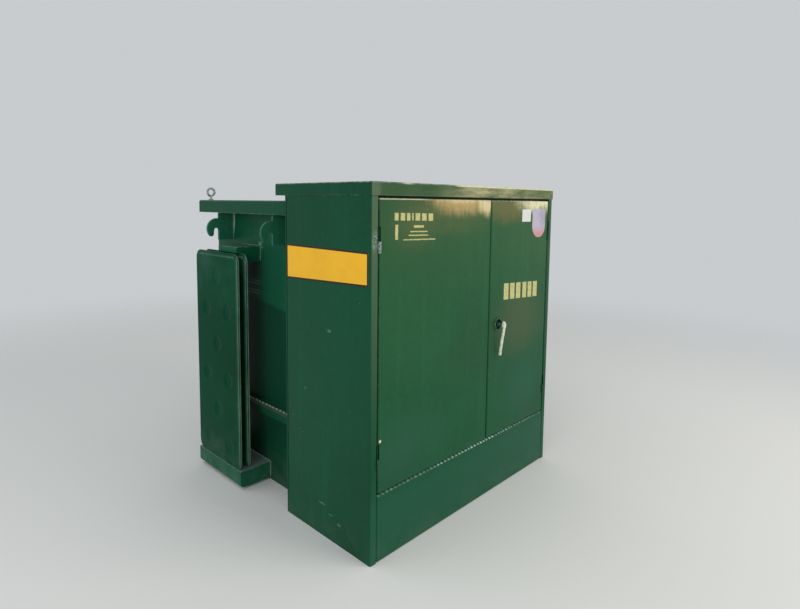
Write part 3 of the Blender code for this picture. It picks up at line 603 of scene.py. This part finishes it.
def cabinet_enamel():
    """Enamel of the cabinet's fixed sheets: darker than the front as painted shade, chipped sill
    seam, bleached roof lip.
    """
    g = start_enamel("cabinet_enamel", CABINET_GREEN)
    low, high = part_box("cabinet_roof")
    # Front faces take the doors' green; the rest stays darker as painted shade
    g.cover(g.times(g.front(), 0.85), DOOR_GREEN)
    sun_haze(g)
    roof_fading(g, low, high)
    stile_highlight_and_scuffs(g)
    weather(g, dust=0.36, splash=0.05)
    side_marks(g)
    sill_seam(g)
    roof_edges(g, low, high)
    return g.done()


def tank_wall_marks(g, wall):
    """Painted shadow, glare and glint, light stripes and painted shade under the header, where wall
    is 1.
    """
    # Painted shadow on the wall below a sloping edge
    shadow_edge = g.math("SUBTRACT", g.z, g.linear(g.y, SHADOW_EDGE_SLOPE, SHADOW_EDGE_HEIGHT))
    g.shade(g.times(wall, g.ramp(shadow_edge, 0.010, -0.010)), 0.60)
    low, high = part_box("lifting_hook_left_rear")
    # Painted glare on the wall beside the rear hook
    glare = g.patch((low.y - 0.006, high.z - 0.03), (0.012, 0.085), 0.6, on_side=True)
    g.cover(g.times(glare, wall, 0.85), WALL_GLARE, 0.35)
    low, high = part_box("radiator_left_upper_header")
    # Painted glint at the upper header's front corner
    corner = g.patch((low.y, high.z), (0.03, 0.03), on_side=True)
    glint_blotches = g.blotches(80.0, 4.0, (0.45, 0.55), seed=69.0)
    g.cover(g.times(corner, glint_blotches, wall, 0.7), WALL_GLARE, 0.4)
    # Light stripes below the upper header
    for drop in STRIPE_DROPS:
        line = g.patch((low.y + 0.057, low.z - drop), (0.095, 0.006), on_side=True)
        g.cover(g.times(line, wall, 0.40), WEAR_AND_HIGHLIGHT_GREEN, 0.4)
    # Painted shade on the wall under the upper header
    under_header_shade = g.patch((low.y + 0.082, low.z - 0.045), (0.10, 0.10), on_side=True)
    g.shade(g.times(under_header_shade, wall, g.ramp(g.z, low.z + 0.004, low.z)), 0.40)


def tank_enamel():
    """Duller enamel of the welded tank, dusty on its ledges, with painted shade on the lid's sides.
    """
    g = start_enamel("tank_enamel", TANK_GREEN, roughness=0.36, specular=0.09)
    weather(g, dust=0.62, splash=0.16, chips=0.06, ground=0.22)
    wall_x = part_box("tank_body")[1].x
    # Painted shade on the lid's sides
    upright = g.ramp(g.normal_z, 0.8, 0.5)
    g.shade(g.times(g.ramp(g.away(g.x), wall_x + 0.012, wall_x + 0.020), upright), 0.84)
    outward = g.ramp(g.away(g.normal_x), 0.8, 0.95)
    walls = g.times(outward, g.near(g.away(g.x), wall_x, 0.01, 0.01))
    tank_wall_marks(g, g.times(walls, g.math("LESS_THAN", g.x, 0.0)))
    wear_edge(g, g.z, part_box("tank_lid")[0].z, 0.3)
    return g.done()


def panel_enamel():
    """Duller panel enamel: painted highlights on the rims, more on the tank's side; painted shade
    and sheen.
    """
    g = start_enamel("panel_enamel", PANEL_GREEN, roughness=0.34, specular=0.03)
    low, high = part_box("radiator_left_panel_1")
    centres = []
    for number in (1, 2):
        panel_low, panel_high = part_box(f"radiator_left_panel_{number}")
        centres.append(abs(panel_low.x + panel_high.x) / 2)
    # Painted highlights on the panels' ends, flanges, upward faces and seams, more on the tank's
    # side
    flange = g.either(*[g.near(g.away(g.x), centre, 0.002, 0.002) for centre in centres])
    ends = g.times(g.ramp(g.away(g.normal_y), 0.25, 0.65), g.linear(flange, 0.75, 0.25))
    crests = g.times(g.ramp(g.normal_z, 0.25, 0.65), 0.4)
    seam = g.times(g.near(g.y, low.y + 0.012, 0.001, 0.002), 0.8)
    patchy = g.linear(g.blotches(9.0, 5.0, (0.35, 0.65), seed=55.0, rough=0.7), 0.5, 0.5)
    inner = g.ramp(g.away(g.x), abs(low.x), abs(high.x))
    rubbed = g.times(g.either(ends, crests, seam), patchy, g.linear(inner, 0.15, 0.70))
    g.cover(rubbed, WEAR_AND_HIGHLIGHT_GREEN, 0.34)
    # Painted shade through the panels' middle height
    g.shade(g.times(g.ramp(g.z, 0.40, 0.62), g.ramp(g.z, 1.0, 0.8), 0.8), 0.78)
    # Painted sheen in blotches, high and low on the panels
    bloom = g.blotches(5.0, 5.0, (0.42, 0.66), seed=79.0, rough=0.6)
    g.cover(g.times(bloom, g.ramp(g.z, 0.86, 1.06), 0.22), PANEL_SHEEN_GREEN, 0.42)
    g.cover(g.times(bloom, g.ramp(g.z, 0.45, 0.25), 0.14), OVERSPRAY_AND_SHEEN_GREEN, 0.42)
    weather(g, dust=0.5, splash=0.12, chips=0.05, ground=0.30)
    return g.done()


def header_enamel():
    """Enamel of the radiator headers, lighter as painted light, and pale bluish grey on the lower
    one's top.
    """
    g = start_enamel("header_enamel", HEADER_GREEN, roughness=0.34, specular=0.09)
    weather(g, dust=0.35, splash=0.16, chips=0.05, ground=0.12)
    upper_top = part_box("radiator_left_upper_header")[1].z
    lower_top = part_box("radiator_left_lower_header")[1].z
    # Pale bluish grey on the lower header's top
    settled = g.times(g.near(g.z, lower_top, 0.002, 0.002), g.ramp(g.normal_z, 0.6, 0.9))
    g.cover(g.times(settled, 0.75), HEADER_TOP_GREY, 0.7)
    wear_edge(g, g.z, upper_top, 0.5)
    wear_edge(g, g.z, lower_top, 0.5)
    return g.done()


def hook_enamel():
    """Enamel on the lifting hooks, brighter than the tank's as painted light, with more chips."""
    g = start_enamel("hook_enamel", LIT_HOOK_GREEN, roughness=0.34, specular=0.12)
    weather(g, dust=0.5, splash=0.0, chips=0.08)
    return g.done()


def weld_finish(name, color, rub_and_highlight_color):
    """Weld enamel, lighter as painted highlight; rubbed light in blotches; painted highlight low on
    the tank, to the rear.
    """
    g = start_enamel(name, color, specular=0.25)
    # Painted highlight low on the tank, towards the rear
    rearward = g.times(g.ramp(g.y, -0.14, 0.02), g.ramp(g.z, 0.6, 0.5))
    g.cover(g.times(rearward, 0.45), rub_and_highlight_color, 0.45)
    rubbed = g.blotches(120.0, 4.0, (0.48, 0.62), seed=57.0, rough=0.7)
    g.cover(g.times(rubbed, 0.6), rub_and_highlight_color, 0.45)
    return g.done()


def eye_finish():
    """Eye bolts: zinc gone grey, with green overspray and rust."""
    g = Graph("eye_finish", GREY_ZINC, 0.5, metallic=0.3)
    g.cover(g.blotches(70.0, 5.0, (0.46, 0.60), seed=59.0, rough=0.7), OVERSPRAY_AND_SHEEN_GREEN, 0.45)
    g.cover(g.blotches(150.0, 4.0, (0.62, 0.74), seed=61.0), RUST, 0.8)
    g.emboss(g.noise(300.0, 4.0, seed=63.0), 0.00015)
    return g.done()


def hinge_finish(name, color, wear):
    """Painted lift-off hinge; wear is the noise level above which the bare steel shows."""
    g = Graph(name, color, 0.5, specular=0.3)
    bare = g.blotches(150.0, 5.0, (wear, wear + 0.12), seed=31.0, rough=0.7)
    g.cover(bare, SCUFFED_STEEL, 0.5)
    g.cover(g.blotches(90.0, 4.0, (0.60, 0.72), seed=33.0), RUST, 0.8)
    g.emboss(bare, 0.0002)
    return g.done()


def boss_finish():
    """Enamelled cup, rubbed bare at its rim, with rust."""
    g = Graph("boss_finish", BOSS_GREEN, 0.45, specular=0.4)
    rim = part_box("handle_boss")[0].y
    rubbed = g.blotches(160.0, 5.0, (0.48, 0.62), seed=35.0, rough=0.7)
    g.cover(g.times(rubbed, g.ramp(g.y, rim + 0.003, rim), 0.35), ZINC, 0.5)
    g.cover(g.blotches(210.0, 4.0, (0.62, 0.74), seed=37.0), RUST, 0.8)
    g.emboss(rubbed, 0.0002)
    return g.done()


def zinc_finish():
    """Weathered zinc plating of the lever: dull crystals, white bloom, rust and a painted axle."""
    g = Graph("zinc_finish", ZINC, 0.42, metallic=0.2)
    g.shade(g.blotches(130.0, 4.0, (0.35, 0.65), seed=39.0), 0.80)
    g.cover(g.blotches(60.0, 6.0, (0.42, 0.60), seed=41.0, rough=0.7), ZINC_BLOOM, 0.7)
    low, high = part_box("handle_lever")
    inward = g.linear(g.noise(90.0, 4.0, seed=73.0), 0.008, g.y)
    near_door = g.ramp(inward, low.y + 0.018, low.y + 0.022)
    axle = g.times(near_door, g.ramp(g.z, high.z - 0.045, high.z - 0.035))
    g.cover(axle, AXLE_GREEN, 0.4)
    worn = g.blotches(150.0, 4.0, (0.52, 0.62), seed=75.0, rough=0.7)
    g.cover(g.times(axle, worn, 0.6), AXLE_SHINE, 0.5)
    g.cover(g.times(g.specks(240.0, 0.12, 0.12), 0.8), RUST, 0.85)
    g.emboss(g.noise(300.0, 4.0, seed=43.0), 0.00015)
    return g.done()


def vinyl(name, color, fade=0.18, foot=None):
    """Film that has weathered, with fine dirt; foot is the colour of a tint and its upper level."""
    g = Graph(name, color, 0.42, specular=0.35)
    if foot:
        tint, level = foot
        g.cover(g.ramp(g.z, level + 0.025, level - 0.025), tint)
    g.shade(g.blotches(7.0, 5.0, (0.40, 0.70), seed=45.0, rough=0.6), 1.0 - fade)
    stains = g.blotches(40.0, 6.0, (0.52, 0.70), seed=47.0, rough=0.75)
    g.cover(g.times(stains, fade), DUST, 0.7)
    g.cover(g.times(g.specks(160.0, 0.10, 0.10), 0.5), DIRT, 0.8)
    g.emboss(g.noise(30.0, 3.0, seed=49.0), 0.0006)
    g.emboss(g.noise(500.0, 2.0, seed=51.0), 0.00003)
    return g.done()


def add_object(name, data):
    """Makes an object and puts it in the scene."""
    made = bpy.data.objects.new(name, data)
    bpy.context.scene.collection.objects.link(made)
    return made


def mesh_object(name, bm):
    """Makes an object of a BMesh, which is used up."""
    mesh = bpy.data.meshes.new(name)
    bm.to_mesh(mesh)
    bm.free()
    return add_object(name, mesh)


def new_piece(name, bm, material, body):
    """Makes a piece of the object that rides on a body of the frame."""
    bmesh.ops.recalc_face_normals(bm, faces=bm.faces)
    bm.normal_update()
    piece = mesh_object(name, bm)
    piece.data.materials.append(material)
    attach(piece, body)
    return piece


def film_outline(size, radii, flare, tilt):
    """The outline of a film round its middle, as points (x, 0, z)."""
    width, height = size
    top_radius, bottom_radius = radii
    outline = []
    for corner, (right, up) in enumerate(((1, 1), (-1, 1), (-1, -1), (1, -1))):
        radius = top_radius if up > 0 else bottom_radius
        for step in range(FILM_CORNER_STEPS + 1):
            turn = math.radians(90 * (corner + step / FILM_CORNER_STEPS))
            x = right * (width / 2 - radius) + radius * math.cos(turn)
            z = up * (height / 2 - radius) + radius * math.sin(turn)
            outline.append((x, 0, z * (1 - flare * x / width) + tilt * x / width))
    return outline


def mark_rim(bm):
    """Cuts a border into the front face of a film and gives it the second material."""
    reach = FILM_THICKNESS / 2
    fronts = [face for face in bm.faces if all(abs(vert.co.y) < reach for vert in face.verts)]
    rim = bmesh.ops.inset_region(bm, faces=fronts, thickness=FILM_RIM, use_even_offset=True)
    for face in rim["faces"]:
        face.material_index = 1


def film(name, centre, size, facing, radii, material, body, flare=0.0, tilt=0.0, rim=None):
    """A thin sheet of film on a flat face, facing -X or -Y; radii round its top and its bottom.

    Flare makes it taller towards its left end, as a share of its height; tilt lifts its right end.
    Rim is the material of a border round it.
    """
    bm = bmesh.new()
    outline = film_outline(size, radii, flare, tilt)
    sheet = bm.faces.new([bm.verts.new(point) for point in outline])
    raised = bmesh.ops.extrude_face_region(bm, geom=[sheet])["geom"]
    raised = [item for item in raised if isinstance(item, bmesh.types.BMVert)]
    bmesh.ops.translate(bm, verts=raised, vec=(0, FILM_THICKNESS, 0))
    if rim:
        mark_rim(bm)
    about = Matrix.Rotation(math.radians(-90), 4, "Z") if facing == "-X" else Matrix.Identity(4)
    bm.transform(Matrix.Translation(centre) @ about)
    piece = new_piece(name, bm, material, body)
    if rim:
        piece.data.materials.append(rim)


def bead_runs(length, stitch):
    """Where each stretch of a bead begins, and its length: one stretch, or centred stitches."""
    if stitch is None:
        return [(0.0, length)]
    stitch_length, gap = stitch
    pitch = stitch_length + gap
    count = int((length + gap) / pitch)
    first = (length - count * stitch_length - (count - 1) * gap) / 2
    return [(first + i * pitch, stitch_length) for i in range(count)]


def skin(bm, rings):
    """Closes a row of rings into a tube with two flat ends."""
    for one, two in zip(rings, rings[1:]):
        for spoke in range(BEAD_SIDES):
            after = (spoke + 1) % BEAD_SIDES
            bm.faces.new((one[spoke], one[after], two[after], two[spoke]))
    bm.faces.new(list(reversed(rings[0])))
    bm.faces.new(rings[-1])


def bead(name, start, end, radius, material, seed, stitch=None):
    """A weld bead on the tank with ripples; stitch is (length, gap) for a broken bead."""
    rng = random.Random(seed)
    start = Vector(start)
    end = Vector(end)
    along = (end - start).normalized()
    side = along.orthogonal().normalized()
    up = along.cross(side)
    bm = bmesh.new()
    for begin, run in bead_runs((end - start).length, stitch):
        rings = []
        count = max(int(run / (radius * BEAD_STEP_SHARE)), 4)
        for i in range(count + 1):
            share = i / count
            taper = math.sqrt(max(1 - abs(2 * share - 1) ** BEAD_END_POWER, BEAD_END_SHARE))
            ripple = 1 + BEAD_RIPPLE_SHARE * math.sin(i * BEAD_RIPPLE_TURN)
            ripple += rng.uniform(-BEAD_UNEVEN_SHARE, BEAD_UNEVEN_SHARE)
            wander = rng.uniform(-BEAD_WANDER_SHARE, BEAD_WANDER_SHARE) * radius
            middle = start + along * (begin + run * share) + side * wander
            ring = []
            for spoke in range(BEAD_SIDES):
                turn = math.tau * spoke / BEAD_SIDES
                offset = side * math.cos(turn) + up * math.sin(turn)
                ring.append(bm.verts.new(middle + offset * radius * taper * ripple))
            rings.append(ring)
        skin(bm, rings)
    piece = new_piece(name, bm, material, "transformer")
    piece.data.shade_smooth()


def header_welds(label, level, wall, material, side):
    """Beads along the top, front and rear of a radiator header, in the plane of the tank's wall."""
    low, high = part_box(f"radiator_{label}_{level}_header")
    runs = (
        ("top", (low.y, high.z), (high.y, high.z), 5),
        ("front", (low.y, low.z), (low.y, high.z), 7),
        ("rear", (high.y, low.z), (high.y, high.z), 9),
    )
    for edge, start, end, seed in runs:
        name = f"weld_{level}_header_{edge}_{label}"
        bead(name, (wall, *start), (wall, *end), WELD_RADIUS, material, seed + side)


def hook_welds(label, place, wall, material, side):
    """A bead on either face of a lifting hook."""
    low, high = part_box(f"lifting_hook_{label}_{place}")
    for face, y in (("a", low.y), ("b", high.y)):
        foot = (wall, y, low.z + HOOK_WELD_FOOT)
        name = f"weld_hook_{label}_{place}_{face}"
        bead(name, foot, (wall, y, high.z), WELD_RADIUS, material, 11 + side)


def plate_weld(label, wall, material, side):
    """A bead up the corner between the tank's wall and its front plate."""
    x = wall - side * PLATE_WELD_INSET
    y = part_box("tank_front_plate")[1].y + PLATE_WELD_SETBACK
    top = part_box("tank_lid")[0].z + PLATE_WELD_OVER_LID
    name = f"weld_plate_{label}"
    bead(name, (x, y, PLATE_WELD_FOOT), (x, y, top), PLATE_WELD_RADIUS, material, 3 + side)


def rib_weld(label, wall, material, side):
    """A stitched bead along the top of the tank's rib."""
    low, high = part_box(f"tank_rib_{label}")
    start = (wall, low.y + RIB_WELD_END_GAP, high.z)
    end = (wall, high.y - RIB_WELD_END_GAP, high.z)
    stitch = (RIB_STITCH, RIB_STITCH_GAP)
    bead(f"weld_rib_{label}", start, end, RIB_WELD_RADIUS, material, 13 + side, stitch)


def welds(material, stitch_material):
    """Beads where the plate, headers, hooks and ribs meet the tank's left and right walls."""
    tank_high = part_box("tank_body")[1]
    for label, side in (("left", -1), ("right", 1)):
        wall = side * tank_high.x
        plate_weld(label, wall, material, side)
        for level in ("upper", "lower"):
            header_welds(label, level, wall, material, side)
        for place in ("front", "rear"):
            hook_welds(label, place, wall, material, side)
        rib_weld(label, wall, stitch_material, side)


def number_film():
    """Yellow film with a dark rim along the cabinet's left side."""
    low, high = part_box("cabinet_side_left")
    front_end = low.y + NUMBER_FILM_FRONT_GAP
    rear_end = high.y - NUMBER_FILM_REAR_GAP
    film(
        "number_film",
        (low.x - FILM_LIFT, (front_end + rear_end) / 2, NUMBER_FILM_LEVEL),
        (rear_end - front_end, NUMBER_FILM_HEIGHT),
        "-X",
        (NUMBER_FILM_CORNER, NUMBER_FILM_CORNER),
        vinyl("yellow_film", FILM_YELLOW, fade=0.07),
        "transformer",
        flare=NUMBER_FILM_FLARE,
        tilt=NUMBER_FILM_TILT,
        rim=vinyl("yellow_film_border", FILM_BORDER, fade=0.0),
    )


def stickers():
    """A white and a lavender film on the right door, placed from its top left corner."""
    low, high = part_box("door_right")
    front = low.y - FILM_LIFT
    white_centre = (low.x + 0.309, front, high.z - 0.075)
    white_size = (0.082, 0.062)
    white_radii = (0.004, 0.004)
    white = vinyl("white_film", FILM_WHITE)
    film("white_sticker", white_centre, white_size, "-Y", white_radii, white, "right_door")
    pale_centre = (low.x + 0.432, front, high.z - 0.115)
    pale_size = (0.130, 0.148)
    pale_radii = (0.015, 0.060)
    foot = (FILM_ROSE, pale_centre[2] - 0.035)
    lavender = vinyl("lavender_film", FILM_LAVENDER, fade=0.35, foot=foot)
    film("pale_sticker", pale_centre, pale_size, "-Y", pale_radii, lavender, "right_door")


def dress_frame(finishes):
    """Gives every CAD node the finish of the first key that its name starts with."""
    for name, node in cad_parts.items():
        key = next(key for key in finishes if name.startswith(key))
        node.data.materials.clear()
        node.data.materials.append(finishes[key])
        node.data.shade_smooth()
        node.data.set_sharp_from_angle(angle=math.radians(SMOOTH_BEND))
        even = node.modifiers.new("even_normals", "WEIGHTED_NORMAL")
        even.keep_sharp = True


def floor():
    """A disc under the object that fades out towards its rim."""
    bm = bmesh.new()
    bmesh.ops.create_circle(bm, cap_ends=True, segments=FLOOR_SIDES, radius=FLOOR_FADE_RADIUS)
    made = mesh_object("floor", bm)
    made.location.z = -FLOOR_DROP
    g = Graph("floor_finish", FLOOR_TONE, 0.8, specular=0.2)
    made.data.materials.append(g.done())
    clear = g.tree.nodes.new("ShaderNodeBsdfTransparent")
    fade = g.tree.nodes.new("ShaderNodeMixShader")
    g.put(fade.inputs[0], g.ramp(g.distance(g.x, g.y), FLOOR_SOLID_RADIUS, FLOOR_FADE_RADIUS))
    g.put(fade.inputs[1], g.shader.outputs[0])
    g.put(fade.inputs[2], clear.outputs[0])
    output = next(node for node in g.tree.nodes if node.type == "OUTPUT_MATERIAL")
    g.put(output.inputs[0], fade.outputs[0])


def area_light(name, place, target, size, watts, tone):
    """A rectangular lamp that looks at its target."""
    light = bpy.data.lights.new(name, "AREA")
    light.shape = "RECTANGLE"
    light.size, light.size_y = size
    light.energy = watts
    light.color = tone
    made = add_object(name, light)
    made.location = place
    made.rotation_euler = (Vector(target) - Vector(place)).to_track_quat("-Z", "Y").to_euler()


def light_scene():
    """An even sky and three area lamps."""
    world = bpy.data.worlds.new("studio")
    world.use_nodes = True
    background = world.node_tree.nodes["Background"]
    background.inputs["Color"].default_value = (*WORLD_TONE, 1.0)
    background.inputs["Strength"].default_value = WORLD_STRENGTH
    bpy.context.scene.world = world
    for lamp in LAMPS:
        area_light(*lamp)


def camera():
    """A camera that sees the object as the photograph does."""
    data = bpy.data.cameras.new("camera")
    data.sensor_width = CAMERA_SENSOR
    data.lens = CAMERA_LENS
    data.shift_y = CAMERA_SHIFT_Y
    made = add_object("camera", data)
    turn = Matrix.Rotation(math.radians(-CAMERA_YAW), 4, "Z")
    tilt = Matrix.Rotation(math.radians(90 - CAMERA_PITCH_DOWN), 4, "X")
    roll = Matrix.Rotation(math.radians(CAMERA_ROLL), 4, "Z")
    made.matrix_world = Matrix.Translation(CAMERA_PLACE) @ turn @ tilt @ roll
    bpy.context.scene.camera = made


def main():
    camera()
    bpy.context.scene.view_settings.view_transform = "Standard"
    light_scene()
    floor()
    cabinet_paint = cabinet_enamel()
    panel_paint = panel_enamel()
    finishes = {
        "cabinet": cabinet_paint,
        "door_header": cabinet_paint,
        "front_sill": cabinet_paint,
        "door": door_enamel(),
        "hinge_left_upper": hinge_finish("worn_hinge", WORN_HINGE_GREEN, 0.44),
        "hinge": hinge_finish("painted_hinge", HINGE_GREEN, 0.60),
        "handle_boss": boss_finish(),
        "handle_lever": zinc_finish(),
        "tank": tank_enamel(),
        "lid_eye": eye_finish(),
        "lifting_hook": hook_enamel(),
        "radiator_left_panel": panel_paint,
        "radiator_right_panel": panel_paint,
        "radiator": header_enamel(),
    }
    dress_frame(finishes)
    number_film()
    stickers()
    weld_paint = weld_finish("weld_finish", WELD_GREEN, WELD_RUB_AND_HIGHLIGHT)
    stitch_paint = weld_finish("stitch_finish", STITCH_GREEN, STITCH_RUB_AND_HIGHLIGHT)
    welds(weld_paint, stitch_paint)


main()
